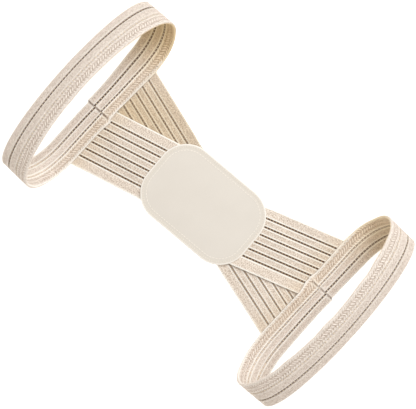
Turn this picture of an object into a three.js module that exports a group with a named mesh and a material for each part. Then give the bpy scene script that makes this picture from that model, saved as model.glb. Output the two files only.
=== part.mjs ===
// Elastic posture corrector, lying on its back face with both shoulder loops standing open.
// Two ribbed elastic panels cross between the loops, and a sewn pad covers their crossing.
// Millimetres. +X points to the right loop, +Y to the neck, +Z up from the surface it lies on.
// The origin is on that surface, midway between the ends of the loops.
import * as THREE from "three";

// What every piece shares
const clearance = 0.3; // air between two layers that lie on each other
const grooveWidth = 1.5; // the channel between two ribs of the elastic
const grooveDepth = 0.5;
const edgeRounding = 0.45; // how much thinner each face is at the edge of the webbing
const edgeRun = 1.0; // how far in from the edge that thinning reaches

// The crossed panels
const panelWidth = 59.5;
const panelThickness = 2;
const panelEdgeRib = 10.5; // the first and last rib are wider than the ones between
const panelGrooves = 6;
const panelHalfSpan = 112.5; // from the middle of the back to the edge of a loop
const panelKnee = 48; // from the middle to where a wing starts, hidden by the pad
const wingSpread = 24.2; // how far a wing's middle line has moved sideways at the loop
const seamAllowance = 8; // the end of a panel that is sewn under the loop
const rampLength = 12; // the upper panel comes down beside the lower one over this length
const rampStart = 1.5; // and starts to come down this far from the lower one's edge

// The loops
const loopWidth = 32;
const loopThickness = 2.2;
const seamPull = 0.18; // share of the width that the seam draws in on the sewn side
const loopEndReach = 36.7; // from the panels' corners to the furthest point of the loop's end
const earlyRise = 8; // the loop starts to rise this far before those corners
const loopHeight = 76; // between the middle lines of the sewn and the free side
const loopEndHeight = 35; // how high the furthest point of a loop's end is
const loopLean = 17.8; // degrees that the loop leans outwards
const loopTwist = 38; // degrees that the free side is turned about its own length
const loopGrooves = [0.39, 0.7]; // shares of the width, from the edge beside the panels
const stepStart = 1; // past the panels' ends the loop lies level over this length
const stepRun = 5; // and then comes down to the surface over this one

// The pad
const padLength = 110.5;
const padWidth = 75.3;
const padCornerRadius = 27;
const padRimThickness = 1.6; // at the stitched rim
const padCrown = 0.8; // how much higher the filled middle is than the rim
const padStitchInset = 5.5; // from the edge to the inner line of its stitches
const padCrownRun = 20; // from that line to where the pad is at its full height
const padRounding = 0.6;
const padOffsetX = -1.9;
const padOffsetY = -2.1;
const padTurn = 2; // degrees

// How finely curved stretches are cut into flat faces
const overPanelSteps = 32;
const underBendSteps = 12;
const seamSteps = 30;
const loopEndSteps = 7;
const loopCrownSteps = 20;
const padCornerSteps = 7;

// Where the middle line of a panel's wing runs: how far it has moved sideways at its knee and at
// its end, as shares of wingSpread. ribs is how far the ribs have crept sideways within the wing,
// as a share of panelEdgeRib.
const wingTable = [
  { panel: "over_panel", side: -1, knee: -0.243, end: -0.948, ribs: 0 },
  { panel: "over_panel", side: 1, knee: 0.201, end: 1.097, ribs: 0.1 },
  { panel: "under_panel", side: -1, knee: 0.314, end: 1.103, ribs: 0.08 },
  { panel: "under_panel", side: 1, knee: -0.197, end: -0.919, ribs: -0.04 },
];

// Elastic never hangs quite even. upper and lower are shares of loopEndReach, and upperWide and
// lowerWide are how much of the width that the seam draws in is back at that end of the seam.
const loopTable = [
  { name: "left_loop", side: -1, upper: 0.93, lower: 0.91, upperWide: 0.65, lowerWide: 0 },
  { name: "right_loop", side: 1, upper: 0.93, lower: 1.05, upperWide: 0.3, lowerWide: 0.2 },
];

// The pad's section from its edge inwards: seam is a share of padStitchInset, run of padCrownRun,
// rim of padRimThickness and crown of padCrown.
const padTable = [
  { seam: 0, run: 0, rim: 0.35, crown: 0 },
  { seam: 0.1, run: 0, rim: 0.85, crown: 0 },
  { seam: 0.3, run: 0, rim: 1, crown: 0 },
  { seam: 0.8, run: 0, rim: 1, crown: 0 },
  { seam: 1, run: 0.03, rim: 1, crown: 0.3 },
  { seam: 1, run: 0.2, rim: 1, crown: 0.65 },
  { seam: 1, run: 0.5, rim: 1, crown: 0.9 },
  { seam: 1, run: 1, rim: 1, crown: 1 },
];

const radians = THREE.MathUtils.degToRad;
const panelEndX = panelHalfSpan + seamAllowance;
const layerStep = panelThickness + clearance;
const sewnWidth = loopWidth * (1 - seamPull);

// 0 before low, 1 after high, and a smooth rise between them.
function ease(low, high, value) {
  return THREE.MathUtils.smoothstep(value, low, high);
}

// A closed mesh through rings of points, each ring with the same number of points. Without
// endFaces the last ring is joined to the first. With it, each end is closed by the triangles
// that it gives for a ring.
function loft(rings, endFaces) {
  const size = rings[0].length;
  const faces = [];
  const last = rings.length - 1;
  for (let i = 0; i < (endFaces ? last : rings.length); i++) {
    const here = i * size;
    const next = ((i + 1) % rings.length) * size;
    for (let j = 0; j < size; j++) {
      const k = (j + 1) % size;
      faces.push(here + j, next + k, next + j, here + j, here + k, next + k);
    }
  }
  if (endFaces) {
    for (const [a, b, c] of endFaces(size)) {
      faces.push(a, c, b);
      faces.push(last * size + a, last * size + b, last * size + c);
    }
  }
  const geometry = new THREE.BufferGeometry();
  geometry.setFromPoints(rings.flat());
  geometry.setIndex(faces);
  geometry.computeVertexNormals();
  return geometry;
}

// A webbing's ring runs along one face and back along the other, so its end is closed by
// joining each point of one face to the point across from it.
function webbingEnd(size) {
  const faces = [];
  for (let j = 0; j < size / 2 - 1; j++) {
    faces.push([j, j + 1, size - 2 - j], [j, size - 2 - j, size - 1 - j]);
  }
  return faces;
}

// A round ring is closed by triangles that share its first point.
function roundEnd(size) {
  return Array.from({ length: size - 2 }, (_, i) => [0, i + 1, i + 2]);
}

// The places across a webbing where its faces bend, each with how far the faces are sunk there.
function webbingProfile(width, grooves, extra = []) {
  const places = [
    { at: 0, sunk: edgeRounding },
    { at: edgeRun, sunk: 0 },
    { at: width - edgeRun, sunk: 0 },
    { at: width, sunk: edgeRounding },
    ...extra.map((at) => ({ at, sunk: 0 })),
  ];
  for (const middle of grooves) {
    places.push({ at: middle - grooveWidth / 2, sunk: 0 });
    places.push({ at: middle, sunk: grooveDepth });
    places.push({ at: middle + grooveWidth / 2, sunk: 0 });
  }
  return places.sort((a, b) => a.at - b.at);
}

// The middle line of a panel: straight wings, and a smooth bend between the knees. creep is how
// far the ribs have moved sideways.
function middleLine(name) {
  const [left, right] = [-1, 1].map((side) => {
    const row = wingTable.find((wing) => wing.panel === name && wing.side === side);
    const slope = (side * (row.end - row.knee) * wingSpread) / (panelHalfSpan - panelKnee);
    return { y: row.knee * wingSpread, slope, ribs: row.ribs };
  });
  return (x) => {
    const ribs = THREE.MathUtils.lerp(left.ribs, right.ribs, ease(-panelKnee, panelKnee, x));
    const creep = panelEdgeRib * ribs;
    if (x <= -panelKnee) return { y: left.y + left.slope * (x + panelKnee), slope: left.slope, creep };
    if (x >= panelKnee) return { y: right.y + right.slope * (x - panelKnee), slope: right.slope, creep };
    const run = 2 * panelKnee;
    const t = (x + panelKnee) / run;
    const y =
      left.y * (2 * t ** 3 - 3 * t ** 2 + 1) +
      left.slope * run * (t ** 3 - 2 * t ** 2 + t) +
      right.y * (3 * t ** 2 - 2 * t ** 3) +
      right.slope * run * (t ** 3 - t ** 2);
    const rise =
      left.y * (6 * t ** 2 - 6 * t) +
      left.slope * run * (3 * t ** 2 - 4 * t + 1) +
      right.y * (6 * t - 6 * t ** 2) +
      right.slope * run * (3 * t ** 2 - 2 * t);
    return { y, slope: rise / run, creep };
  };
}

const overLine = middleLine("over_panel");
const underLine = middleLine("under_panel");

// Half of a panel's height along Y at a place on its middle line.
function halfHeight(line) {
  return (panelWidth / 2) * Math.hypot(1, line.slope);
}

// How far the upper panel is lifted: fully over the lower panel, and down to the surface beside it.
function overLift(x, y) {
  const line = underLine(x);
  const past = (Math.abs(y - line.y) - halfHeight(line)) / Math.hypot(1, line.slope);
  return layerStep * (1 - ease(rampStart, rampStart + rampLength, past));
}

function panelGrooveLines() {
  const between = (panelWidth - 2 * panelEdgeRib) / (panelGrooves - 1);
  return Array.from({ length: panelGrooves }, (_, i) => panelEdgeRib + i * between);
}

// A panel's sections stand along Y, so that its two ends are cut parallel to the loops. Its edges
// stay where they are, however far the ribs between them have crept.
function panelGeometry(lineAt, liftAt, stations) {
  const grooves = panelGrooveLines();
  const crests = [panelEdgeRib / 2, panelWidth - panelEdgeRib / 2];
  const profile = webbingProfile(panelWidth, grooves, crests);
  const rings = stations.map((x) => {
    const line = lineAt(x);
    const stretch = Math.hypot(1, line.slope);
    const spots = profile.map(({ at, sunk }) => {
      const inside = ease(0, panelEdgeRib, Math.min(at, panelWidth - at));
      const y = line.y + (at + inside * line.creep - panelWidth / 2) * stretch;
      return { y, sunk, low: liftAt(x, y) };
    });
    const upper = spots.map(({ y, sunk, low }) => new THREE.Vector3(x, y, low + panelThickness - sunk));
    const lower = spots.map(({ y, sunk, low }) => new THREE.Vector3(x, y, low + sunk));
    return [...lower, ...upper.reverse()];
  });
  return loft(rings, webbingEnd);
}

function evenly(from, to, steps) {
  return Array.from({ length: steps + 1 }, (_, i) => from + ((to - from) * i) / steps);
}

function overPanel() {
  return panelGeometry(overLine, overLift, evenly(-panelEndX, panelEndX, overPanelSteps));
}

function underPanel() {
  const bend = evenly(-panelKnee, panelKnee, underBendSteps);
  return panelGeometry(underLine, () => 0, [-panelEndX, ...bend, panelEndX]);
}

// How far the panels reach along Y under a loop: both of them, and the upper one alone.
function sewnReach(side) {
  const reach = (lines) => {
    const ends = [panelHalfSpan, panelEndX].flatMap((x) => lines.map((line) => line(side * x)));
    return {
      top: Math.max(...ends.map((line) => line.y + halfHeight(line))),
      bottom: Math.min(...ends.map((line) => line.y - halfHeight(line))),
    };
  };
  return { side, both: reach([overLine, underLine]), over: reach([overLine]) };
}

// How high the loop's sewn edge is lifted by the panels at a place along the seam.
function seamLift({ side, both, over }, y) {
  const near = ({ top, bottom }) => 1 - ease(rampStart, rampStart + rampLength, Math.max(y - top, bottom - y));
  const upperPanel = Math.max(overLift(side * panelHalfSpan, y), overLift(side * panelEndX, y));
  return layerStep * near(both) + upperPanel * near(over);
}

// One loop's middle line, seen from the side: flat where it is sewn, a quarter oval at each end
// and half an oval over the top. wide is how much of the full width the loop has there.
function loopSide(row, panels) {
  const upperFlat = panels.top - earlyRise;
  const lowerFlat = panels.bottom + earlyRise;
  const upperEnd = loopEndReach * row.upper + earlyRise;
  const lowerEnd = loopEndReach * row.lower + earlyRise;
  const middle = (upperFlat + upperEnd + lowerFlat - lowerEnd) / 2;
  const reach = (upperFlat + upperEnd - lowerFlat + lowerEnd) / 2;
  const crown = loopHeight - loopEndHeight;
  const spots = evenly(lowerFlat, upperFlat, seamSteps).slice(0, -1).map((y) => ({ y, z: 0 }));
  const oval = (y, across, up, from, to, steps) => {
    for (const a of evenly(radians(from), radians(to), steps).slice(0, -1)) {
      spots.push({ y: y + across * Math.cos(a), z: loopEndHeight + up * Math.sin(a) });
    }
  };
  oval(upperFlat, upperEnd, loopEndHeight, -90, 0, loopEndSteps);
  oval(middle, reach, crown, 0, 180, loopCrownSteps);
  oval(lowerFlat, lowerEnd, loopEndHeight, 180, 270, loopEndSteps);
  return spots.map(({ y, z }) => {
    const alongSeam = (2 * (y - lowerFlat)) / (upperFlat - lowerFlat) - 1;
    const wideAtEnd = alongSeam > 0 ? row.upperWide : row.lowerWide;
    const wide = Math.max(ease(0, loopEndHeight, z), wideAtEnd * Math.min(alongSeam ** 2, 1));
    return { y, z, wide };
  });
}

function loopGeometry(row) {
  const reach = sewnReach(row.side);
  const stepAt = seamAllowance + clearance + stepStart;
  const profile = webbingProfile(
    sewnWidth,
    loopGrooves.map((share) => share * sewnWidth),
    [stepAt - grooveWidth, stepAt + stepRun],
  );
  const base = loopThickness / 2;
  const lean = Math.tan(radians(loopLean));
  const sideView = loopSide(row, reach.both);
  const line = sideView.map(({ y, z }) => {
    const x = row.side * (panelHalfSpan + sewnWidth / 2 + lean * z);
    return new THREE.Vector3(x, y, base + z);
  });
  const rings = line.map((spot, i) => {
    const before = line[(i + line.length - 1) % line.length];
    const after = line[(i + 1) % line.length];
    const along = after.clone().sub(before).normalize();
    const rise = (spot.z - base) / loopHeight;
    const turn = radians(loopTwist * rise);
    const outwards = new THREE.Vector3(row.side * Math.cos(turn), 0, -Math.sin(turn));
    outwards.addScaledVector(along, -outwards.dot(along)).normalize();
    const up = new THREE.Vector3().crossVectors(outwards, along).multiplyScalar(row.side);
    const width = THREE.MathUtils.lerp(sewnWidth, loopWidth, sideView[i].wide);
    const sewn = spot.z - base < loopEndHeight ? seamLift(reach, spot.y) : 0;
    const place = ({ at, sunk }, face) => {
      const lift = sewn * (1 - ease(stepAt, stepAt + stepRun, at));
      return spot
        .clone()
        .addScaledVector(outwards, (at / sewnWidth - 0.5) * width)
        .addScaledVector(up, lift + face * (loopThickness / 2 - sunk));
    };
    const inner = profile.map((p) => place(p, 1));
    const outer = profile.map((p) => place(p, -1));
    return row.side > 0 ? [...inner, ...outer.reverse()] : [...outer, ...inner.reverse()];
  });
  return loft(rings);
}

// The pad's outline, drawn in by an inset: four straight sides and four arcs.
function padOutline(inset) {
  const radius = Math.max(padCornerRadius - inset, padRounding);
  const shape = new THREE.Shape();
  const x = padLength / 2 - inset - radius;
  const y = padWidth / 2 - inset - radius;
  shape.absarc(x, y, radius, 0, Math.PI / 2);
  shape.absarc(-x, y, radius, Math.PI / 2, Math.PI);
  shape.absarc(-x, -y, radius, Math.PI, Math.PI * 1.5);
  shape.absarc(x, -y, radius, Math.PI * 1.5, Math.PI * 2);
  return shape.getPoints(padCornerSteps).slice(0, -1);
}

function padGeometry() {
  const layers = padTable.map(({ seam, run, rim, crown }) => ({
    inset: seam * padStitchInset + run * padCrownRun,
    height: rim * padRimThickness + crown * padCrown,
  }));
  layers.unshift({ inset: padRounding, height: 0 });
  const rings = layers.map(({ inset, height }) =>
    padOutline(inset).map((p) => new THREE.Vector3(p.x, p.y, height)),
  );
  return loft(rings, roundEnd);
}

function piece(name, geometry, material) {
  const mesh = new THREE.Mesh(geometry, material);
  mesh.name = name;
  return mesh;
}

const panelElastic = new THREE.MeshStandardMaterial({ color: 0xdccbb8, roughness: 0.9, metalness: 0 });
const loopElastic = new THREE.MeshStandardMaterial({ color: 0xe4d6cb, roughness: 0.9, metalness: 0 });
const padCover = new THREE.MeshStandardMaterial({ color: 0xe6dfd3, roughness: 0.7, metalness: 0 });

const corrector = new THREE.Group();
corrector.add(piece("under_panel", underPanel(), panelElastic));
corrector.add(piece("over_panel", overPanel(), panelElastic));
for (const row of loopTable) corrector.add(piece(row.name, loopGeometry(row), loopElastic));

const pad = piece("center_pad", padGeometry(), padCover);
pad.position.set(padOffsetX, padOffsetY, 2 * layerStep);
pad.rotation.z = radians(padTurn);
corrector.add(pad);

export default corrector;
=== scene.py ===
# Dresses the posture corrector: knitted elastic, a sewn pad and its threads. Metres, in the part's frame.
import math

import bpy
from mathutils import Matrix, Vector


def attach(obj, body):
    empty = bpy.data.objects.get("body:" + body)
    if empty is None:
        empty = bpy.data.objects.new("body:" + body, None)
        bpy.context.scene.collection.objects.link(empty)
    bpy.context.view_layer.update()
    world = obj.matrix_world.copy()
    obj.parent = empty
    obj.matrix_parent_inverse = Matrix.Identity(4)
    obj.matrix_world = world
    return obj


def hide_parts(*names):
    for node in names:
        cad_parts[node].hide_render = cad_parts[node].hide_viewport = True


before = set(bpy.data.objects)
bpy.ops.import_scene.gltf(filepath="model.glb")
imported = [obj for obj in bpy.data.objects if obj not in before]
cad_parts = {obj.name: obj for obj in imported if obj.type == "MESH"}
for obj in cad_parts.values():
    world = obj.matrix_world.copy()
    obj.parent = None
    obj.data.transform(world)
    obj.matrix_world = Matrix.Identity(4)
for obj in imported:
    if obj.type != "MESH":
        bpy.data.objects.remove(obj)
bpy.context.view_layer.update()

mm = 0.001


def ease(low, high, value):
    t = min(max((value - low) / (high - low), 0), 1)
    return t * t * (3 - 2 * t)


def evenly(start, end, steps):
    return [start + (end - start) * i / steps for i in range(steps + 1)]


# A smooth hump: 1 at no distance, about a third at its reach. A higher power gives it a flatter top.
def hump(distance, reach, power=2):
    return math.exp(-((distance / reach) ** power))


# Camera and light

view = {
    "height": 1.0,
    "seenWidth": 0.3682,  # how much of the surface the frame takes in from side to side
    "x": 0.0013,
    "y": 0.0007,
    "turn": 42,  # degrees
}
lamps = {
    "key": {"place": (0.0, 0.7, 1.05), "size": 0.5, "power": 7.0, "color": (0.94, 0.97, 1.0)},
    "fill": {"place": (0.0, 0.0, 1.5), "size": 0.8, "power": 7.0, "color": (0.83, 0.89, 1.0)},
}
surroundings = {"strength": 0.6, "color": (1.0, 0.93, 0.82)}  # warm, which warms the shaded places


def makeCamera():
    data = bpy.data.cameras.new("photoCamera")
    data.sensor_width = 36  # millimetres, as the lens
    data.lens = data.sensor_width * view["height"] / view["seenWidth"]
    data.clip_start = 0.01
    camera = bpy.data.objects.new("photoCamera", data)
    camera.location = (view["x"], view["y"], view["height"])
    camera.rotation_euler = (0, 0, math.radians(view["turn"]))
    bpy.context.collection.objects.link(camera)
    bpy.context.scene.camera = camera


# A round lamp that shines at the part's middle.
def makeLight(name, lamp):
    data = bpy.data.lights.new(name, "AREA")
    data.shape = "DISK"
    data.size = lamp["size"]
    data.energy = lamp["power"]
    data.color = lamp["color"]
    light = bpy.data.objects.new(name, data)
    light.location = lamp["place"]
    light.rotation_euler = (-Vector(lamp["place"])).to_track_quat("-Z", "Y").to_euler()
    bpy.context.collection.objects.link(light)


def makeWorld():
    world = bpy.data.worlds.new("studio")
    world.use_nodes = True
    background = world.node_tree.nodes["Background"]
    background.inputs["Color"].default_value = surroundings["color"] + (1,)
    background.inputs["Strength"].default_value = surroundings["strength"]
    bpy.context.scene.world = world


bpy.context.scene.view_settings.view_transform = "Standard"
makeCamera()
makeWorld()
for name, lamp in lamps.items():
    makeLight(name, lamp)
print("camera and light")

# Node helpers


def hexColor(text):
    channels = [int(text[i : i + 2], 16) / 255 for i in (1, 3, 5)]
    return tuple(c / 12.92 if c <= 0.04045 else ((c + 0.055) / 1.055) ** 2.4 for c in channels) + (1,)


# Adds one node and gives back one of its outputs. An input is a value, or another node's output.
def add(tree, kind, inputs=(), out=0, **settings):
    node = tree.nodes.new(kind)
    for key, value in settings.items():
        setattr(node, key, value)
    pairs = inputs.items() if isinstance(inputs, dict) else enumerate(inputs)
    for key, value in pairs:
        if isinstance(value, bpy.types.NodeSocket):
            tree.links.new(value, node.inputs[key])
        else:
            node.inputs[key].default_value = value
    return node.outputs[out]


# Materials


def startMaterial(name, look):
    material = bpy.data.materials.new(name)
    material.use_nodes = True
    surface = material.node_tree.nodes["Principled BSDF"]
    for key, value in look.items():
        surface.inputs[key].default_value = value
    return material, material.node_tree, surface


# What the webbing's meshes say of each point: how far it lies in a groove, or in a painted shadow line
# on the under panel; how strong the painted highlight on a pale rim is; how far it lies in the zig-zag rows
# and in the painted warm shade; and how much painted light makes it paler.
webbingMarks = ("groove", "rim", "zigzag", "shaded", "back")
elasticLook = {
    "row": 1.9 * mm,  # one stitch along the webbing, drawn larger than a real one so that it shows
    "column": 1.25 * mm,  # one column of stitches across it, drawn wider too
    "bar": 2.7 * mm,  # one bar of the zig-zag rows
    "barColumn": 3.4 * mm,
    "barContrast": (2.2, -0.35),  # gain and offset
    "uneven": 0.9 * mm,  # how far a stitch may lie out of its row
    "tuft": 1.1 * mm,  # brushed yarn in tufts, drawn as coarse as the picture needs
    "tuftContrast": (2.8, -0.9),  # gain and offset
    "patch": 3.8 * mm,  # uneven knitting, in patches
    "fibres": 1500.0,  # to the metre
    "paleness": {"stitches": 0.42, "tufts": 0.6, "patches": 0.2, "fibres": 0.15},  # from valley to crest
    "relief": {"stitches": 1.0, "tufts": 0.5, "fibres": 0.4},
    "reliefDepth": 0.4 * mm,
    "reliefStrength": 0.9,
    "shadeColor": "#E5D2A4",  # where the webbing lies in its own warm shade
    "backGain": (1.17, 1.2, 1.23, 1),  # times the face's colour: painted light, which makes the lit places paler
    "surface": {
        "Roughness": 0.9,
        "IOR": 1.5,
        "Specular IOR Level": 0.25,
        "Sheen Weight": 0.1,
        "Sheen Roughness": 0.5,
    },
}


# Knitted polyester and rubber elastic: matt, with slanted stitches that lean the other way in every second
# column, and pale tufts of brushed yarn. The stitches follow the piece's own UV map, which is in metres.
def makeElastic(name, colors):
    look = elasticLook
    material, tree, surface = startMaterial(name, look["surface"])
    place = add(tree, "ShaderNodeUVMap", uv_map="flatPlace")
    here = add(tree, "ShaderNodeTexCoord", out="Object")
    marks = {}
    for key in webbingMarks:
        marks[key] = add(tree, "ShaderNodeAttribute", out="Fac", attribute_name=key)
    fibres = add(tree, "ShaderNodeTexNoise", {"Vector": here, "Scale": look["fibres"], "Detail": 3.0})
    tufts = add(tree, "ShaderNodeTexNoise", {"Vector": here, "Scale": 1 / look["tuft"], "Detail": 2.0})
    contrast = [tufts, *look["tuftContrast"]]
    tufts = add(tree, "ShaderNodeMath", contrast, operation="MULTIPLY_ADD", use_clamp=True)
    patches = add(tree, "ShaderNodeTexNoise", {"Vector": here, "Scale": 1 / look["patch"], "Detail": 4.0})
    along = add(tree, "ShaderNodeSeparateXYZ", [place])
    across = add(tree, "ShaderNodeSeparateXYZ", [place], out="Y")
    wander = add(tree, "ShaderNodeMath", [patches, look["uneven"]], operation="MULTIPLY")
    along = add(tree, "ShaderNodeMath", [along, wander], operation="ADD")

    # Stitches of one size, as a height from 0 to 1.
    def stitches(row, column):
        columns = add(tree, "ShaderNodeMath", [across, 1 / column], operation="MULTIPLY")
        part = add(tree, "ShaderNodeMath", [columns], operation="FRACT")
        number = add(tree, "ShaderNodeMath", [columns], operation="FLOOR")
        odd = add(tree, "ShaderNodeMath", [number, 2.0], operation="FLOORED_MODULO")
        sign = add(tree, "ShaderNodeMath", [odd, 2.0, -1.0], operation="MULTIPLY_ADD")
        slant = add(tree, "ShaderNodeMath", [part, sign], operation="MULTIPLY")
        rows = add(tree, "ShaderNodeMath", [along, 1 / row, slant], operation="MULTIPLY_ADD")
        turns = add(tree, "ShaderNodeMath", [rows, 2 * math.pi], operation="MULTIPLY")
        wave = add(tree, "ShaderNodeMath", [turns], operation="SINE")
        wave = add(tree, "ShaderNodeMath", [wave, 0.5, 0.5], operation="MULTIPLY_ADD")
        turns = add(tree, "ShaderNodeMath", [part, math.pi], operation="MULTIPLY")
        crown = add(tree, "ShaderNodeMath", [turns], operation="SINE")
        return add(tree, "ShaderNodeMath", [wave, crown], operation="MULTIPLY")

    fine = stitches(look["row"], look["column"])
    bars = stitches(look["bar"], look["barColumn"])
    bars = add(tree, "ShaderNodeMath", [bars, *look["barContrast"]], operation="MULTIPLY_ADD")
    height = add(tree, "ShaderNodeMix", {0: marks["zigzag"], 2: fine, 3: bars})
    signals = {"stitches": height, "tufts": tufts, "patches": patches, "fibres": fibres}
    sums = {}
    for use in ("paleness", "relief"):
        sums[use] = 0.0
        for key, weight in look[use].items():
            terms = [signals[key], weight, sums[use]]
            sums[use] = add(tree, "ShaderNodeMath", terms, operation="MULTIPLY_ADD")

    base = hexColor(colors["valley"])
    # The pale rim colour is a painted highlight, the gain painted light, the shade colour painted shade, and
    # the groove colour also draws a painted shadow line.
    for factor, color, how in (
        (sums["paleness"], hexColor(colors["crest"]), "MIX"),
        (marks["rim"], hexColor(colors["rim"]), "MIX"),
        (marks["back"], look["backGain"], "MULTIPLY"),
        (marks["groove"], hexColor(colors["groove"]), "MIX"),
        (marks["shaded"], hexColor(look["shadeColor"]), "MULTIPLY"),
    ):
        mix = {0: factor, 6: base, 7: color}
        base = add(tree, "ShaderNodeMix", mix, 2, data_type="RGBA", blend_type=how)
    tree.links.new(base, surface.inputs["Base Color"])
    # The shine of the yarn, which is lost in the grooves.
    for key in ("Specular IOR Level", "Sheen Weight"):
        shine = look["surface"][key]
        shine = add(tree, "ShaderNodeMath", [marks["groove"], -shine, shine], operation="MULTIPLY_ADD")
        tree.links.new(shine, surface.inputs[key])
    bump = {"Strength": look["reliefStrength"], "Distance": look["reliefDepth"], "Height": sums["relief"]}
    tree.links.new(add(tree, "ShaderNodeBump", bump), surface.inputs["Normal"])
    return material


padLook = {
    "colors": {"low": "#D1CAC0", "high": "#DCD6CD", "hem": "#D7D0C5", "rim": "#F0EBE3"},
    "naps": 1800.0,  # to the metre, coarser than the real nap so that it shows
    "napShare": 0.45,
    "strokes": 40.0,  # to the metre
    "strokeShare": 0.55,
    "reliefDepth": 0.1 * mm,
    "reliefStrength": 0.4,
    "surface": {"Roughness": 0.72, "IOR": 1.5, "Sheen Weight": 0.25, "Sheen Roughness": 0.4},
}


# Brushed microfibre: a short even nap, with soft darker places where it has been stroked. The hem shows
# through between its stitches, and the folded edge has a painted highlight all round.
def makePadCover():
    look = padLook
    material, tree, surface = startMaterial("padMicrofibre", look["surface"])
    here = add(tree, "ShaderNodeTexCoord", out="Object")
    hem = add(tree, "ShaderNodeAttribute", out="Fac", attribute_name="hem")
    rim = add(tree, "ShaderNodeAttribute", out="Fac", attribute_name="rim")
    nap = add(tree, "ShaderNodeTexNoise", {"Vector": here, "Scale": look["naps"], "Detail": 3.0})
    strokes = add(tree, "ShaderNodeTexNoise", {"Vector": here, "Scale": look["strokes"], "Detail": 3.0})
    shade = add(tree, "ShaderNodeMath", [nap, look["napShare"]], operation="MULTIPLY")
    shade = add(tree, "ShaderNodeMath", [strokes, look["strokeShare"], shade], operation="MULTIPLY_ADD")
    colors = {key: hexColor(text) for key, text in look["colors"].items()}
    base = colors["low"]
    for factor, color in ((shade, colors["high"]), (hem, colors["hem"]), (rim, colors["rim"])):
        base = add(tree, "ShaderNodeMix", {0: factor, 6: base, 7: color}, 2, data_type="RGBA")
    tree.links.new(base, surface.inputs["Base Color"])
    bump = {"Strength": look["reliefStrength"], "Distance": look["reliefDepth"], "Height": nap}
    tree.links.new(add(tree, "ShaderNodeBump", bump), surface.inputs["Normal"])
    return material


threadLook = {"ply": 0.5 * mm, "surface": {"Roughness": 0.7, "IOR": 1.5}}


# Spun polyester thread, with the twist of its plies across it.
def makeThread(name, light, dark):
    material, tree, surface = startMaterial(name, threadLook["surface"])
    here = add(tree, "ShaderNodeTexCoord", out="Object")
    # A Wave Texture repeats every 2 pi / 20 of its own units.
    twist = {"Vector": here, "Scale": 2 * math.pi / 20 / threadLook["ply"], "Distortion": 1.0}
    plies = add(tree, "ShaderNodeTexWave", twist, out="Fac", bands_direction="DIAGONAL")
    colors = {0: plies, 6: hexColor(dark), 7: hexColor(light)}
    tree.links.new(add(tree, "ShaderNodeMix", colors, 2, data_type="RGBA"), surface.inputs["Base Color"])
    return material


# rim is the colour of the painted highlight on the rims, and groove the dark of the grooves, which on the
# under panel also draws a painted shadow line.
panelElastic = makeElastic(
    "panelElastic", {"crest": "#FCF0E2", "valley": "#A18A75", "rim": "#FFFCF4", "groove": "#4A2A12"}
)
loopElastic = makeElastic(
    "loopElastic", {"crest": "#FBF0E6", "valley": "#A89280", "rim": "#FFFAF2", "groove": "#4A2A12"}
)
padCover = makePadCover()
paleThread = makeThread("paleThread", "#F7F2EA", "#E3DACD")
hemThread = makeThread("hemThread", "#E9E3DA", "#D5CCC0")
grooveThread = makeThread("grooveThread", "#CDB596", "#937A5A")
loopThread = makeThread("loopThread", "#F0E3CF", "#D2BE9F")
print("materials")

# The shapes that the part's source also uses

clearance = 0.3 * mm
panel = {
    "width": 59.5 * mm,
    "thickness": 2 * mm,
    "edgeRib": 10.5 * mm,
    "grooves": 6,
    "halfSpan": 112.5 * mm,  # from the middle to where the loops begin
    "knee": 48 * mm,  # from the middle to where a wing is straight
    "spread": 24.2 * mm,
    "seam": 8 * mm,  # how far the panels' ends lie under the loops
    "rampStart": 1.5 * mm,
    "rampLength": 12 * mm,
    "meshSteps": 150,
    "threadSteps": 120,
}
# How far each wing's middle line has moved sideways at its knee and its end, as shares of the spread, and
# how far its ribs have crept, as a share of the edge rib.
wings = {
    "over": {
        -1: {"knee": -0.243, "end": -0.948, "ribs": 0},
        1: {"knee": 0.201, "end": 1.097, "ribs": 0.1},
    },
    "under": {
        -1: {"knee": 0.314, "end": 1.103, "ribs": 0.08},
        1: {"knee": -0.197, "end": -0.919, "ribs": -0.04},
    },
}
layerStep = panel["thickness"] + clearance
panelEnd = panel["halfSpan"] + panel["seam"]


# A panel's middle line at x: how far across it runs, and its slope. It is straight along each wing and
# bends smoothly between the knees.
def middleLine(name, x):
    knee, span = panel["knee"], panel["halfSpan"] - panel["knee"]
    kneeY, slopes = {}, {}
    for side, row in wings[name].items():
        kneeY[side] = row["knee"] * panel["spread"]
        slopes[side] = side * (row["end"] - row["knee"]) * panel["spread"] / span
    if abs(x) >= knee:
        side = 1 if x > 0 else -1
        return kneeY[side] + slopes[side] * (x - side * knee), slopes[side]
    run = 2 * knee
    t = (x + knee) / run
    y = kneeY[-1] * (2 * t**3 - 3 * t**2 + 1) + slopes[-1] * run * (t**3 - 2 * t**2 + t)
    y += kneeY[1] * (3 * t**2 - 2 * t**3) + slopes[1] * run * (t**3 - t**2)
    rise = kneeY[-1] * (6 * t**2 - 6 * t) + slopes[-1] * run * (3 * t**2 - 4 * t + 1)
    rise += kneeY[1] * (6 * t - 6 * t**2) + slopes[1] * run * (3 * t**2 - 2 * t)
    return y, rise / run


# How far the ribs have crept sideways at x.
def ribCreep(name, x):
    left, right = (panel["edgeRib"] * wings[name][side]["ribs"] for side in (-1, 1))
    return left + (right - left) * ease(-panel["knee"], panel["knee"], x)


def halfHeight(slope):
    return panel["width"] / 2 * math.hypot(1, slope)


# How much of a lift is left at a distance past the edge of what lifts the webbing.
def ramp(past):
    return 1 - ease(panel["rampStart"], panel["rampStart"] + panel["rampLength"], past)


# How far the over panel is lifted where it lies on the under panel.
def overLift(x, y):
    middle, slope = middleLine("under", x)
    return layerStep * ramp((abs(y - middle) - halfHeight(slope)) / math.hypot(1, slope))


def noLift(x, y):
    return 0.0


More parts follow.
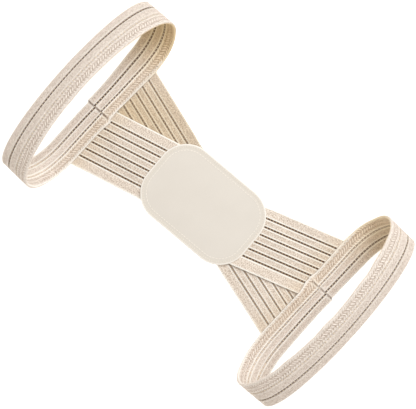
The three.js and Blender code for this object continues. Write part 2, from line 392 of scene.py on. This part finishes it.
# How high the loop's sewn edge is lifted by the panels at y.
def seamLift(side, y):
    ends = [side * x for x in (panel["halfSpan"], panelEnd)]
    over, under = ([middleLine(name, x) for x in ends] for name in ("over", "under"))

    def near(lines):
        top = max(middle + halfHeight(slope) for middle, slope in lines)
        bottom = min(middle - halfHeight(slope) for middle, slope in lines)
        return ramp(max(y - top, bottom - y))

    upper = max(overLift(x, y) for x in ends)
    return layerStep * near(over + under) + upper * near(over)


# Webbing

knit = {
    "grooveDepth": 0.8 * mm,
    "grooveHalf": 0.72 * mm,
    "grooveRows": (-1.4, -1.05, -0.7, -0.35, 0, 0.35, 0.7, 1.05, 1.4),  # its mesh rows, in millimetres
    "rimAt": 1.4 * mm,  # from the groove's middle
    "rimReach": 0.5 * mm,
    "rimHeight": 0.2 * mm,
    "edgeRim": 0.6 * mm,  # where the edge's own rim lies, and its reach
    "edgeRun": 1.1 * mm,  # how far in the edge is rounded
    "edgeSunk": 0.75 * mm,
    "edgeRows": (0.15, 0.35, 0.6),  # its mesh rows, in millimetres
    "rowStep": 0.55 * mm,  # how close the mesh's other rows lie across the webbing
}


# The places across a webbing, each with how far its faces are sunk, how dark it is and how strong the
# painted highlight on its pale rim is.
def acrossWebbing(width, grooves):
    spots = set(evenly(0, width, max(2, round(width / knit["rowStep"]))))
    spots.update(edge for at in knit["edgeRows"] for edge in (at * mm, width - at * mm))
    for groove in grooves:
        spots.update(groove + offset * mm for offset in knit["grooveRows"])
    profile = []
    for at in sorted(spots):
        gap = min(abs(at - groove) for groove in grooves)
        inset = min(at, width - at)
        # The rims stand up a little, and their pale colour is a painted highlight.
        grooveRim = hump(gap - knit["rimAt"], knit["rimReach"])
        rim = max(grooveRim, hump(inset - knit["edgeRim"], knit["edgeRim"]))
        dark = hump(gap, knit["grooveHalf"], 4)
        sunk = knit["grooveDepth"] * dark - knit["rimHeight"] * rim
        edge = inset / knit["edgeRun"]
        if edge < 1:  # the edge is rounded
            sunk += knit["edgeSunk"] * (1 - math.sqrt(1 - (1 - edge) ** 2))
        profile.append({"at": at, "sunk": sunk, "dark": dark, "rim": rim})
    return profile


# A smooth piece of one material. marks holds, for each attribute, one number a point.
def makePiece(name, points, faces, marks, material):
    mesh = bpy.data.meshes.new(name)
    mesh.from_pydata(points, [], faces)
    for key, numbers in marks.items():
        mesh.attributes.new(key, "FLOAT", "POINT").data.foreach_set("value", numbers)
    mesh.polygons.foreach_set("use_smooth", [True] * len(mesh.polygons))
    mesh.materials.append(material)
    mesh.update()
    piece = bpy.data.objects.new(name, mesh)
    bpy.context.collection.objects.link(piece)
    return piece


# A closed webbing through rings. along gives each ring's place along it and across each ring point's place
# across it, which the UV map keeps. The ends are closed unless the last ring is joined to the first.
def makeLoft(name, rings, joined, marks, along, across, material):
    size = len(rings[0])
    faces, corners = [], []
    for i in range(len(rings) if joined else len(rings) - 1):
        here, ahead = i * size, (i + 1) % len(rings) * size
        for j in range(size):
            k = (j + 1) % size
            faces.append((here + j, here + k, ahead + k, ahead + j))
            corners += [(along[i], across[j]), (along[i], across[k])]
            corners += [(along[i + 1], across[k]), (along[i + 1], across[j])]
    if not joined:
        for first, ringAt, flip in ((0, along[0], True), ((len(rings) - 1) * size, along[-1], False)):
            for j in range(size // 2 - 1):
                quad = [j, j + 1, size - 2 - j, size - 1 - j]
                if flip:
                    quad.reverse()
                faces.append(tuple(first + k for k in quad))
                corners += [(ringAt, across[k]) for k in quad]
    piece = makePiece(name, [point for ring in rings for point in ring], faces, marks, material)
    uv = piece.data.uv_layers.new(name="flatPlace")
    uv.data.foreach_set("uv", [value for corner in corners for value in corner])
    return piece


# Panels


def grooveLines(width, edgeRib, count):
    between = (width - 2 * edgeRib) / (count - 1)
    return [edgeRib + i * between for i in range(count)]


panelGrooves = grooveLines(panel["width"], panel["edgeRib"], panel["grooves"])


# A point on a panel's upper or lower face, at a place across it.
def panelPoint(name, liftAt, x, at, offset):
    middle, slope = middleLine(name, x)
    inside = ease(0, panel["edgeRib"], min(at, panel["width"] - at))
    y = middle + (at + inside * ribCreep(name, x) - panel["width"] / 2) * math.hypot(1, slope)
    return Vector((x, y, liftAt(x, y) + offset))


panelShade = {
    "soft": 0.58,
    "softReach": 42 * mm,
    "close": 0.4,
    "closeReach": 1.6 * mm,
    "end": 0.2,  # towards the loops
    "endRun": 30 * mm,
}


# How deep a point of the under panel lies in the shade of the over panel: softly all over the left wing,
# and in a narrow dark line beside the over panel's edge on the right one.
def underShade(point):
    middle, slope = middleLine("over", point.x)
    past = max(abs(point.y - middle) - halfHeight(slope), 0)
    leftWing = ease(-panel["knee"], panel["halfSpan"], -point.x)
    rightWing = ease(0, panel["knee"], point.x)
    soft = panelShade["soft"] * hump(past, panelShade["softReach"]) * leftWing
    close = panelShade["close"] * hump(past, panelShade["closeReach"]) * rightWing
    return soft, close


def noShade(point):
    return 0.0, 0.0


# How much of the grooves and of the rims' painted highlight shows, and how much painted light makes the
# right wing and the edge ribs paler.
underLook = {"grooves": 0.65, "rims": 0.7, "pale": 0.35, "edgePale": 0.0}
overLook = {"grooves": 1.0, "rims": 1.0, "pale": 0.1, "edgePale": 0.45}


def makePanel(name, line, liftAt, shadeAt, look):
    profile = acrossWebbing(panel["width"], panelGrooves)
    rings = []
    marks = {key: [] for key in webbingMarks}
    along = [0.0]
    for i, x in enumerate(evenly(-panelEnd, panelEnd, panel["meshSteps"])):
        lower, upper = [], []
        for spot in profile:
            lower.append(panelPoint(line, liftAt, x, spot["at"], spot["sunk"]))
            upper.append(panelPoint(line, liftAt, x, spot["at"], panel["thickness"] - spot["sunk"]))
        rings.append(lower + upper[::-1])
        if i:
            along.append(along[-1] + (rings[i][0] - rings[i - 1][0]).length)
        endShade = panelShade["end"] * ease(panelEnd - panelShade["endRun"], panel["halfSpan"], abs(x))
        # Painted light makes the right wing paler, and on the over panel the edge ribs too.
        wingPale = look["pale"] * ease(0, panel["knee"], x)
        for spot, point in zip(profile + profile[::-1], rings[-1]):
            soft, close = shadeAt(point)
            onEdgeRib = min(spot["at"], panel["width"] - spot["at"]) < panel["edgeRib"]
            # The narrow painted shadow line beside the over panel's edge is drawn into the groove mark, in
            # the groove's dark colour.
            marks["groove"].append(max(look["grooves"] * spot["dark"], close))
            marks["rim"].append(look["rims"] * spot["rim"])
            marks["zigzag"].append(0.0)
            marks["shaded"].append(max(soft, endShade))
            marks["back"].append(wingPale + look["edgePale"] * onEdgeRib)
    across = [spot["at"] for spot in profile]
    return makeLoft(name, rings, False, marks, along, across + across[::-1], panelElastic)


underPanel = makePanel("underPanel", "under", noLift, underShade, underLook)
overPanel = makePanel("overPanel", "over", overLift, noShade, overLook)
print("panels")

# Loops

loop = {
    "width": 32 * mm,
    "thickness": 2.2 * mm,
    "seamPull": 0.18,  # how much of its width the sewing takes from the sewn side
    "endReach": 36.7 * mm,
    "earlyRise": 8 * mm,
    "height": 76 * mm,
    "endHeight": 35 * mm,
    "lean": 17.8,  # degrees
    "twist": 38,  # degrees
    "grooves": (0.39, 0.7),  # shares of the width
    "stepStart": 1 * mm,  # past the panels' ends, where the sewn side steps down to the surface
    "stepRun": 5 * mm,
    "swayShare": 0.5,  # how much of the width the sway takes in
    "swayWaves": ((0.6, 5.9 * mm, 0), (0.4, 3.4 * mm, 1)),  # the height, length and start of each
    "seamSteps": 130,
    "endSteps": 26,
    "crownSteps": 90,
}
# The cross seam, where the band's two ends are joined. Its bulk pushes the sewn edge over the panels.
join = {
    "shift": 0.7 * mm,  # how far the two ends lie apart
    "rise": 0.5 * mm,
    "stepRun": 0.5 * mm,
    "fade": 12 * mm,
    "lineReach": 0.7 * mm,
    "lineShare": 0.12,  # the share of the width at which its dark line starts
    # The pale line beside the seam's dark line is a painted highlight.
    "rimAt": 1.8 * mm,
    "rimPale": 0.7,
    "bulkAt": -3 * mm,  # from the seam
    "bulkReach": 7 * mm,
    "bulkShare": 0.3,  # how much of the width its bulk pushes
}
# upper and lower are how far the two ends reach, as shares of the end reach, and upperWide and lowerWide how
# much of the full width comes back at them. join is where the cross seam lies, bulge how far its bulk pushes
# and joinDark how dark it is. sway is how far the free side's edge sways. inner and outer are how dark the
# first and second groove of each face are. shade is how deep the inner face's painted shade is, and the last
# how strong the painted light is that makes its lower end paler.
loopRows = {
    -1: {
        "name": "leftLoop",
        "upper": 0.93,
        "lower": 0.91,
        "upperWide": 0.65,
        "lowerWide": 0,
        "join": -2 * mm,
        "bulge": 1.2 * mm,
        "joinDark": 0.8,
        "sway": 0.15 * mm,
        "inner": (0.9, 1.0),
        "outer": (0.2, 1.0),
        "shade": 0.92,
        "paintedLightShare": 0.6,
    },
    1: {
        "name": "rightLoop",
        "upper": 0.93,
        "lower": 1.05,
        "upperWide": 0.3,
        "lowerWide": 0.2,
        "join": 12 * mm,
        "bulge": 2.6 * mm,
        "joinDark": 0.5,
        "sway": 0.55 * mm,
        "inner": (0.5, 0.9),
        "outer": (0.15, 0.8),
        "shade": 0.68,
        "paintedLightShare": 0.2,
    },
}
loopLook = {
    "shadeRun": (0.22, 1.05),  # shares of the way to the upper end over which the shade comes up
    "paleRun": (0.2, 1.0),  # the same for the painted light that makes the lower end paler
    "zigzagRun": (0.03, 0.08, 0.3, 0.36),  # shares of the width over which the zig-zag rows begin and end
    "zigzagShade": 0.25,
    "grooveLoss": {"pale": 1.15, "shaded": 0.3},  # how the grooves fade at the pale and the shaded end
    "outerRims": 0.4,
    "paintedLightRun": (0.1, 0.8),  # how strong the inner face's painted light is, away from its pale end and at it
}
sewnWidth = loop["width"] * (1 - loop["seamPull"])


# The loop's middle line from the side: y, z above the line of its sewn side, and how much of the full
# width the loop has there.
def loopSide(side):
    row = loopRows[side]
    ends = [side * x for x in (panel["halfSpan"], panelEnd)]
    lines = [middleLine(name, x) for name in ("over", "under") for x in ends]
    upperFlat = max(middle + halfHeight(slope) for middle, slope in lines) - loop["earlyRise"]
    lowerFlat = min(middle - halfHeight(slope) for middle, slope in lines) + loop["earlyRise"]
    upperEnd = loop["endReach"] * row["upper"] + loop["earlyRise"]
    lowerEnd = loop["endReach"] * row["lower"] + loop["earlyRise"]
    middle = (upperFlat + upperEnd + lowerFlat - lowerEnd) / 2
    reach = (upperFlat + upperEnd - lowerFlat + lowerEnd) / 2
    low, crown = loop["endHeight"], loop["height"] - loop["endHeight"]
    spots = [(y, 0.0) for y in evenly(lowerFlat, upperFlat, loop["seamSteps"])[:-1]]
    for y, across, up, start, end, steps in (
        (upperFlat, upperEnd, low, -90, 0, loop["endSteps"]),
        (middle, reach, crown, 0, 180, loop["crownSteps"]),
        (lowerFlat, lowerEnd, low, 180, 270, loop["endSteps"]),
    ):
        for angle in evenly(math.radians(start), math.radians(end), steps)[:-1]:
            spots.append((y + across * math.cos(angle), low + up * math.sin(angle)))
    line = []
    for y, z in spots:
        alongSeam = 2 * (y - lowerFlat) / (upperFlat - lowerFlat) - 1
        wideAtEnd = row["upperWide"] if alongSeam > 0 else row["lowerWide"]
        line.append((y, z, max(ease(0, low, z), wideAtEnd * min(alongSeam**2, 1))))
    return line


# Each station of a loop: its place, its directions outwards and up, its width, what the panels and the
# cross seam do to it, and its looks.
def loopStations(side):
    row = loopRows[side]
    lean = math.tan(math.radians(loop["lean"]))
    base = loop["thickness"] / 2
    ys, zs, wides = zip(*loopSide(side))
    line = []
    for y, z in zip(ys, zs):
        line.append(Vector((side * (panel["halfSpan"] + sewnWidth / 2 + lean * z), y, base + z)))
    top = max(spot.y for spot in line)
    shadeLow, shadeHigh = (share * top for share in loopLook["shadeRun"])
    paleLow, paleHigh = (share * top for share in loopLook["paleRun"])
    stations = []
    for i, spot in enumerate(line):
        along = (line[(i + 1) % len(line)] - line[i - 1]).normalized()
        turn = math.radians(loop["twist"] * (spot.z - base) / loop["height"])
        outwards = Vector((side * math.cos(turn), 0, -math.sin(turn)))
        outwards = (outwards - along * outwards.dot(along)).normalized()
        sewn = spot.z - base < loop["endHeight"]
        past = spot.y - row["join"]
        step = math.tanh(past / join["stepRun"]) * math.exp(-abs(past) / join["fade"]) if sewn else 0.0
        sway = sum(much * math.sin(spot.y / long + start) for much, long, start in loop["swayWaves"])
        stations.append(
            {
                "spot": spot,
                "outwards": outwards,
                "up": outwards.cross(along) * side,
                "width": sewnWidth + (loop["width"] - sewnWidth) * wides[i],
                "lift": seamLift(side, spot.y) if sewn else 0.0,
                "shift": -step * join["shift"],
                "rise": join["rise"] * max(step, 0),
                "sway": row["sway"] * sway * ease(0, loop["endHeight"], spot.z - base),
                "bulge": row["bulge"] * hump(past - join["bulkAt"], join["bulkReach"]) * sewn,
                "seam": hump(past, join["lineReach"]) * sewn,
                "seamRim": hump(abs(past) - join["rimAt"], join["lineReach"]) * sewn,
                "shaded": row["shade"] * ease(shadeLow, shadeHigh, spot.y),
                "pale": ease(paleLow, paleHigh, -spot.y),
            }
        )
    return stations


stepAt = panel["seam"] + clearance + loop["stepStart"]


# A point on a loop at a share of its width. height is measured from the middle of its thickness, inwards.
def loopPoint(station, share, height):
    stepDown = ease(stepAt, stepAt + loop["stepRun"], share * sewnWidth)
    lift = station["lift"] * (1 - stepDown) + station["rise"]
    across = (share - 0.5) * station["width"] - station["bulge"] * (1 - ease(0, join["bulkShare"], share))
    across += station["sway"] * (1 - ease(0, loop["swayShare"], share))
    point = station["spot"] + station["outwards"] * across
    return point + station["up"] * (lift + height) + Vector((station["shift"], 0, 0))


# What the webbing's marks are at a spot of one of the loop's faces. The cross seam, the painted shade and
# the painted light are the inner face's alone.
def loopMarks(row, station, face, spot):
    share = spot["at"] / sewnWidth
    start, full, last, end = loopLook["zigzagRun"]
    margin = ease(start, full, share) * (1 - ease(last, end, share))
    dark = spot["dark"] * row[face][share > sum(loop["grooves"]) / 2]
    if face == "outer":
        rim = spot["rim"] * loopLook["outerRims"]
        return {"groove": dark, "rim": rim, "zigzag": margin, "shaded": 0.0, "back": 0.0}
    onSeam = share > join["lineShare"]
    pale, shaded = station["pale"], station["shaded"]
    loss = loopLook["grooveLoss"]
    dark *= max(1 - loss["pale"] * pale - loss["shaded"] * shaded, 0)
    # Painted light: the inner face is paler towards its lit lower end, and less so where it lies in painted
    # shade.
    away, atEnd = loopLook["paintedLightRun"]
    paintedLightShare = row["paintedLightShare"] * (1 - shaded) * (away + (atEnd - away) * pale)
    return {
        "groove": max(dark, row["joinDark"] * station["seam"] * onSeam),
        "rim": max(spot["rim"], join["rimPale"] * station["seamRim"] * onSeam),
        "zigzag": margin,
        "shaded": max(shaded, loopLook["zigzagShade"] * margin * (1 - pale)),
        "back": paintedLightShare * (1 - margin * (1 - pale)),
    }


def makeLoop(side):
    row = loopRows[side]
    stations = loopStations(side)
    profile = acrossWebbing(sewnWidth, [share * sewnWidth for share in loop["grooves"]])
    half = loop["thickness"] / 2
    order = ("inner", "outer") if side > 0 else ("outer", "inner")  # so that the faces point outwards
    rings = []
    marks = {key: [] for key in webbingMarks}
    along = [0.0]
    for i, station in enumerate(stations):
        faces = {"inner": [], "outer": []}
        for spot in profile:
            faces["inner"].append(loopPoint(station, spot["at"] / sewnWidth, half - spot["sunk"]))
            faces["outer"].append(loopPoint(station, spot["at"] / sewnWidth, spot["sunk"] - half))
        rings.append(faces[order[0]] + faces[order[1]][::-1])
        ahead = stations[(i + 1) % len(stations)]["spot"]
        along.append(along[-1] + (ahead - station["spot"]).length)
        for face, spots in zip(order, (profile, profile[::-1])):
            for spot in spots:
                for key, value in loopMarks(row, station, face, spot).items():
                    marks[key].append(value)
    across = [spot["at"] for spot in profile]
    return makeLoft(row["name"], rings, True, marks, along, across + across[::-1], loopElastic)


leftLoop = makeLoop(-1)
rightLoop = makeLoop(1)
print("loops")

# Pad

pad = {
    "length": 110.5 * mm,
    "width": 75.3 * mm,
    "radius": 27 * mm,
    "leastRadius": 0.6 * mm,
    "x": -1.9 * mm,
    "y": -2.1 * mm,
    "turn": 2,  # degrees
    "base": 2 * layerStep,
    "hem": (1.1, 3.6),  # millimetres from the edge, as the next two
    "hemFade": (0.7, 0.8),
    "rimFade": 0.3,
    "overlock": (2.4 * mm, 1.5 * mm),  # inset and height of a row of stitches
    "stitches": (5.5 * mm, 1.62 * mm),
    "cornerSteps": 24,
    "sideSteps": 20,
}
# The pad's section from its edge inwards, in millimetres: inset and height.
padSection = [
    (0.5, 0.0), (0.15, 0.12), (0.0, 0.4), (0.03, 0.8), (0.25, 1.2), (0.6, 1.45), (1.0, 1.52), (1.6, 1.48),
    (2.6, 1.46), (3.8, 1.48), (4.8, 1.54), (5.6, 1.6), (6.6, 1.68), (8.5, 1.8), (11.0, 1.94), (14.5, 2.1),
    (19.0, 2.26), (24.0, 2.37), (28.0, 2.4),
]


# The pad's outline drawn in by an inset, as points that keep their order from one inset to the next.
def padOutline(inset):
    radius = max(pad["radius"] - inset, pad["leastRadius"])
    x = pad["length"] / 2 - inset - radius
    y = pad["width"] / 2 - inset - radius
    arcs = []
    for i, (cornerX, cornerY) in enumerate(((x, y), (-x, y), (-x, -y), (x, -y))):
        angles = evenly(i * math.pi / 2, (i + 1) * math.pi / 2, pad["cornerSteps"])
        arcs.append([(cornerX + radius * math.cos(a), cornerY + radius * math.sin(a)) for a in angles])
    points = []
    for i, arc in enumerate(arcs):
        following = arcs[(i + 1) % len(arcs)][0]
        points += arc
        points += zip(*(evenly(a, b, pad["sideSteps"])[1:-1] for a, b in zip(arc[-1], following)))
    return points


def padPlace(x, y, z):
    turn = math.radians(pad["turn"])
    return Vector(
        (
            pad["x"] + x * math.cos(turn) - y * math.sin(turn),
            pad["y"] + x * math.sin(turn) + y * math.cos(turn),
            pad["base"] + z,
        )
    )


def makePad():
    rings = []
    for inset, height in padSection:
        rings.append([padPlace(x, y, height * mm) for x, y in padOutline(inset * mm)])
    size = len(rings[0])
    faces = []
    for i in range(len(rings) - 1):
        for j in range(size):
            k = (j + 1) % size
            faces.append((i * size + j, i * size + k, (i + 1) * size + k, (i + 1) * size + j))
    faces.append(tuple(range(size))[::-1])
    top = (len(rings) - 1) * size
    faces.append(tuple(top + j for j in range(size)))
    low, high = pad["hem"]
    lowFade, highFade = pad["hemFade"]
    marks = {"hem": [], "rim": []}
    for inset, height in padSection:
        marks["hem"] += [ease(low, low + lowFade, inset) * (1 - ease(high, high + highFade, inset))] * size
        # The rim mark is a painted highlight along the pad's edge.
        marks["rim"] += [1 - ease(low - pad["rimFade"], low + pad["rimFade"], inset)] * size
    return makePiece("centerPad", [point for ring in rings for point in ring], faces, marks, padCover)


centerPad = makePad()
print("pad")

# Threads


# Lays one thread after another along each line of a guide mesh.
def makeStitchTree():
    tree = bpy.data.node_groups.new("stitchRow", "GeometryNodeTree")
    tree.interface.new_socket("Guide", in_out="INPUT", socket_type="NodeSocketGeometry")
    for name in ("Spacing", "Stitch Length", "Thread Radius", "Flatness", "Turn", "Swing"):
        tree.interface.new_socket(name, in_out="INPUT", socket_type="NodeSocketFloat")
    tree.interface.new_socket("Thread", in_out="INPUT", socket_type="NodeSocketMaterial")
    tree.interface.new_socket("Stitches", in_out="OUTPUT", socket_type="NodeSocketGeometry")
    given = tree.nodes.new("NodeGroupInput").outputs

    curve = add(tree, "GeometryNodeMeshToCurve", {"Mesh": given["Guide"]})
    spaced = {"Curve": curve, "Length": given["Spacing"]}
    points = add(tree, "GeometryNodeResampleCurve", spaced, mode="LENGTH")
    bead = add(tree, "GeometryNodeMeshUVSphere", {"Segments": 8, "Rings": 5, "Radius": 1.0})
    half = add(tree, "ShaderNodeMath", [given["Stitch Length"], 0.5], operation="MULTIPLY")
    flat = add(tree, "ShaderNodeMath", [given["Thread Radius"], given["Flatness"]], operation="MULTIPLY")
    size = add(tree, "ShaderNodeCombineXYZ", [half, given["Thread Radius"], flat])
    tangent = add(tree, "GeometryNodeInputTangent")
    facing = add(tree, "GeometryNodeInputNamedAttribute", {"Name": "facing"}, data_type="FLOAT_VECTOR")
    rotation = add(tree, "FunctionNodeAlignRotationToVector", {"Vector": tangent}, axis="X")
    upright = {"Rotation": rotation, "Vector": facing}
    rotation = add(tree, "FunctionNodeAlignRotationToVector", upright, axis="Z", pivot_axis="X")
    # Every second stitch swings the other way.
    index = add(tree, "GeometryNodeInputIndex")
    odd = add(tree, "ShaderNodeMath", [index, 2.0], operation="MODULO")
    sign = add(tree, "ShaderNodeMath", [odd, 2.0, -1.0], operation="MULTIPLY_ADD")
    angle = add(tree, "ShaderNodeMath", [sign, given["Swing"], given["Turn"]], operation="MULTIPLY_ADD")
    spin = add(tree, "FunctionNodeAxisAngleToRotation", {"Axis": (0, 0, 1), "Angle": angle})
    turned = {"Rotation": rotation, "Rotate By": spin}
    rotation = add(tree, "FunctionNodeRotateRotation", turned, rotation_space="LOCAL")
    placed = {"Points": points, "Instance": bead, "Rotation": rotation, "Scale": size}
    stitches = add(tree, "GeometryNodeInstanceOnPoints", placed)
    stitches = add(tree, "GeometryNodeRealizeInstances", {"Geometry": stitches})
    stitches = add(tree, "GeometryNodeSetShadeSmooth", {"Geometry": stitches})
    stitches = add(tree, "GeometryNodeSetMaterial", {"Geometry": stitches, "Material": given["Thread"]})
    out = tree.nodes.new("NodeGroupOutput")
    tree.links.new(stitches, out.inputs["Stitches"])
    return tree


stitchTree = makeStitchTree()


# lines is a list of (points, normals, closed). The stitches become a plain mesh of their own.
def makeStitches(name, lines, settings):
    points, normals, edges = [], [], []
    for linePoints, lineNormals, closed in lines:
        first = len(points)
        points += linePoints
        normals += lineNormals
        count = len(linePoints)
        edges += [(first + i, first + i + 1) for i in range(count - 1)]
        if closed:
            edges.append((first + count - 1, first))
    guide = bpy.data.meshes.new(name + "Guide")
    guide.from_pydata(points, edges, [])
    facing = guide.attributes.new("facing", "FLOAT_VECTOR", "POINT")
    facing.data.foreach_set("vector", [value for normal in normals for value in normal])
    piece = bpy.data.objects.new(name, guide)
    bpy.context.collection.objects.link(piece)
    modifier = piece.modifiers.new("stitches", "NODES")
    modifier.node_group = stitchTree
    for item in stitchTree.interface.items_tree:
        if item.in_out == "INPUT" and item.name in settings:
            modifier[item.identifier] = settings[item.name]
    bpy.context.view_layer.update()
    shown = piece.evaluated_get(bpy.context.evaluated_depsgraph_get())
    mesh = bpy.data.meshes.new_from_object(shown)
    piece.modifiers.clear()
    piece.data = mesh
    bpy.data.meshes.remove(guide)
    return piece


# Threads cross each groove like the rungs of a ladder. On the loops they are paler and farther apart.
ladder = {
    "Spacing": 2.9 * mm,
    "Stitch Length": 2.2 * mm,
    "Thread Radius": 0.5 * mm,
    "Flatness": 0.5,
    "Turn": math.pi / 2,
    "Swing": 0.0,
    "Thread": grooveThread,
}
loopLadder = {**ladder, "Spacing": 3.3 * mm, "Thread": loopThread}
ladderSunk = 0.38 * mm  # below the webbing's face


def panelLines(line, liftAt):
    stations = evenly(-panelEnd, panelEnd, panel["threadSteps"])
    rows = []
    for groove in panelGrooves:
        for offset, facing in ((panel["thickness"] - ladderSunk, 1), (ladderSunk, -1)):
            points = [panelPoint(line, liftAt, x, groove, offset) for x in stations]
            rows.append((points, [Vector((0, 0, facing))] * len(points), False))
    return rows


def loopLine(side, share, height, sign):
    stations = loopStations(side)
    points = [loopPoint(station, share, sign * height) for station in stations]
    return points, [station["up"] * sign for station in stations], True


def loopLines(side):
    height = loop["thickness"] / 2 - ladderSunk
    return [loopLine(side, share, height, sign) for share in loop["grooves"] for sign in (1, -1)]


underLadder = makeStitches("underPanelThreads", panelLines("under", noLift), ladder)
overLadder = makeStitches("overPanelThreads", panelLines("over", overLift), ladder)
leftLadder = makeStitches("leftLoopThreads", loopLines(-1), loopLadder)
rightLadder = makeStitches("rightLoopThreads", loopLines(1), loopLadder)

# A zig-zag seam holds each loop's edge to the panels, and two bar tacks lock the cross seam's end there.
seam = {
    "Spacing": 2.1 * mm,
    "Stitch Length": 3.0 * mm,
    "Thread Radius": 0.3 * mm,
    "Flatness": 0.8,
    "Turn": 0.0,
    "Swing": 0.75,
    "Thread": paleThread,
}
tack = {**seam, "Spacing": 0.7 * mm, "Stitch Length": 2.6 * mm, "Turn": math.pi / 2, "Swing": 0.1}
sewing = {
    "seamShare": 0.055,  # of the loop's width, from its sewn edge
    "tackShare": 0.05,
    "tackOffsets": (2.5 * mm, -5.5 * mm),  # from the cross seam
    "tackHalf": 2 * mm,
}


def sewnLine(stations, share):
    points = [loopPoint(station, share, loop["thickness"] / 2) for station in stations]
    return points, [station["up"] for station in stations], False


# The seam runs where the loop lies on a panel, which lifts it by more than half a layer.
def seamLine(side):
    stations = [station for station in loopStations(side) if station["lift"] > 0.5 * layerStep]
    return sewnLine(stations, sewing["seamShare"])


def tackLine(side, offset):
    middle = loopRows[side]["join"] + offset
    stations = []
    for station in loopStations(side):
        if station["lift"] > 0 and abs(station["spot"].y - middle) < sewing["tackHalf"]:
            stations.append(station)
    return sewnLine(stations, sewing["tackShare"])


leftSeam = makeStitches("leftSeamThreads", [seamLine(-1)], seam)
rightSeam = makeStitches("rightSeamThreads", [seamLine(1)], seam)
leftTacks = makeStitches("leftTacks", [tackLine(-1, offset) for offset in sewing["tackOffsets"]], tack)
rightTacks = makeStitches("rightTacks", [tackLine(1, offset) for offset in sewing["tackOffsets"]], tack)

# An overlock row runs round the pad's hem, and a line of straight stitches inside it.
overlock = {
    "Spacing": 2.1 * mm,
    "Stitch Length": 2.6 * mm,
    "Thread Radius": 0.42 * mm,
    "Flatness": 0.7,
    "Turn": math.pi / 2,
    "Swing": 0.3,
    "Thread": hemThread,
}
straight = {
    "Spacing": 2.9 * mm,
    "Stitch Length": 2.6 * mm,
    "Thread Radius": 0.32 * mm,
    "Flatness": 0.8,
    "Turn": 0.0,
    "Swing": 0.12,
    "Thread": paleThread,
}


def padLine(inset, height):
    points = [padPlace(x, y, height) for x, y in padOutline(inset)]
    return points, [Vector((0, 0, 1))] * len(points), True


padOverlock = makeStitches("padOverlock", [padLine(*pad["overlock"])], overlock)
padStitches = makeStitches("padStitches", [padLine(*pad["stitches"])], straight)
print("threads")

# Floor

# A pale table that glows a little, which keeps the shadows faint.
table = {
    "half": 3.0,
    "level": -0.3 * mm,
    "surface": {
        "Base Color": hexColor("#FBFAF8"),
        "Roughness": 0.9,
        "Emission Color": (1, 1, 1, 1),
        "Emission Strength": 0.5,
    },
}


def makeFloor():
    half, level = table["half"], table["level"]
    corners = [(-half, -half, level), (half, -half, level), (half, half, level), (-half, half, level)]
    return makePiece("floor", corners, [(0, 1, 2, 3)], {}, startMaterial("paleFloor", table["surface"])[0])


makeFloor()
print("floor")

# Hand over

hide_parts("under_panel")
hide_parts("over_panel")
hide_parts("left_loop")
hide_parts("right_loop")
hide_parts("center_pad")
leftThreads = [leftLadder, leftSeam, leftTacks]
rightThreads = [rightLadder, rightSeam, rightTacks]
slots = {
    "panel_elastic": [underPanel, overPanel, underLadder, overLadder],
    "loop_elastic": [leftLoop, rightLoop] + leftThreads + rightThreads,
    "pad_cover": [centerPad, padOverlock, padStitches],
}
for name, members in slots.items():
    for piece in members:
        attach(piece, "root")
